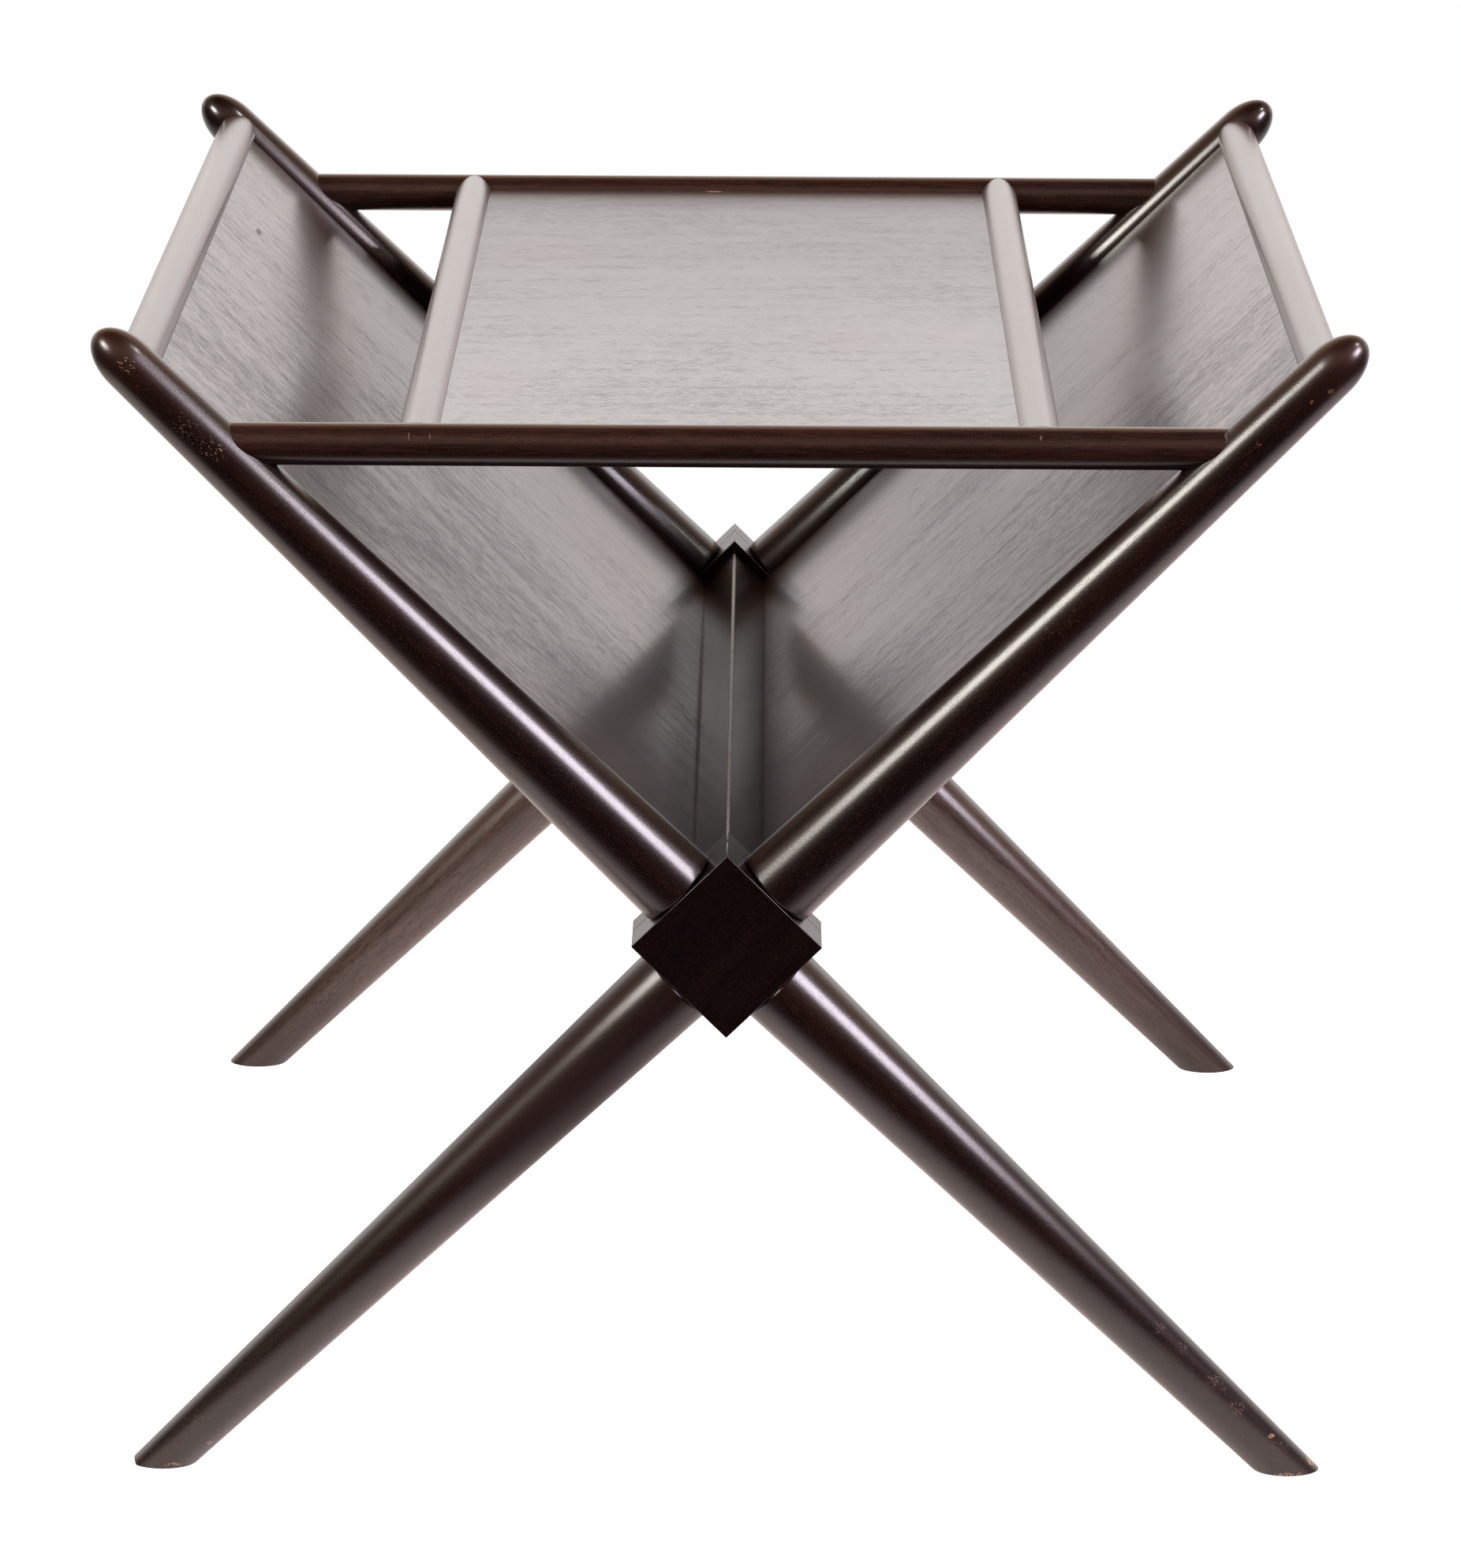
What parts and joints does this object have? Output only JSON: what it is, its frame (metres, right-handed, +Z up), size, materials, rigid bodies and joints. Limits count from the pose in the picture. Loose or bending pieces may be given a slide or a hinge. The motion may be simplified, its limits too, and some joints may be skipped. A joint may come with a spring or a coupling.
{
  "type": "magazine table",
  "caption": "Side table with a level tray over a V-shaped magazine holder of sloping boards, on X frames of tapered round arms and legs.",
  "frame": {"origin": "on the floor, midway between the four feet", "axes": "+Z up, -Y towards the front X frame, +Y along the centre beam towards the back, +X to the right"},
  "size_m": [0.5918, 0.641, 0.5639],
  "materials": {
    "dark_wood": "dark brown stain, satin-gloss varnish",
    "rod_wood": "dark brown stain, satin-gloss varnish",
    "panel_wood": "dark brown stain, satin varnish, open grain",
    "dowel_wood": "bare beech"
  },
  "bodies": {
    "root": {"front_hub_outer": "dark_wood", "front_hub_inner": "dark_wood", "back_hub_inner": "dark_wood", "back_hub_outer": "dark_wood", "center_beam": "dark_wood", "front_left_arm": "dark_wood", "front_right_arm": "dark_wood", "back_left_arm": "dark_wood", "back_right_arm": "dark_wood", "front_left_leg": "dark_wood", "front_right_leg": "dark_wood", "back_left_leg": "dark_wood", "back_right_leg": "dark_wood", "front_rail": "rod_wood", "back_rail": "rod_wood", "left_top_rod": "rod_wood", "right_top_rod": "rod_wood", "tray_left_rod": "rod_wood", "tray_right_rod": "rod_wood", "tray_panel": "panel_wood", "left_panel": "panel_wood", "right_panel": "panel_wood", "beam_dowels": "dowel_wood", "rail_dowels": "dowel_wood", "top_rod_dowels": "dowel_wood", "tray_rod_dowels": "dowel_wood"}
  },
  "joints": []
}
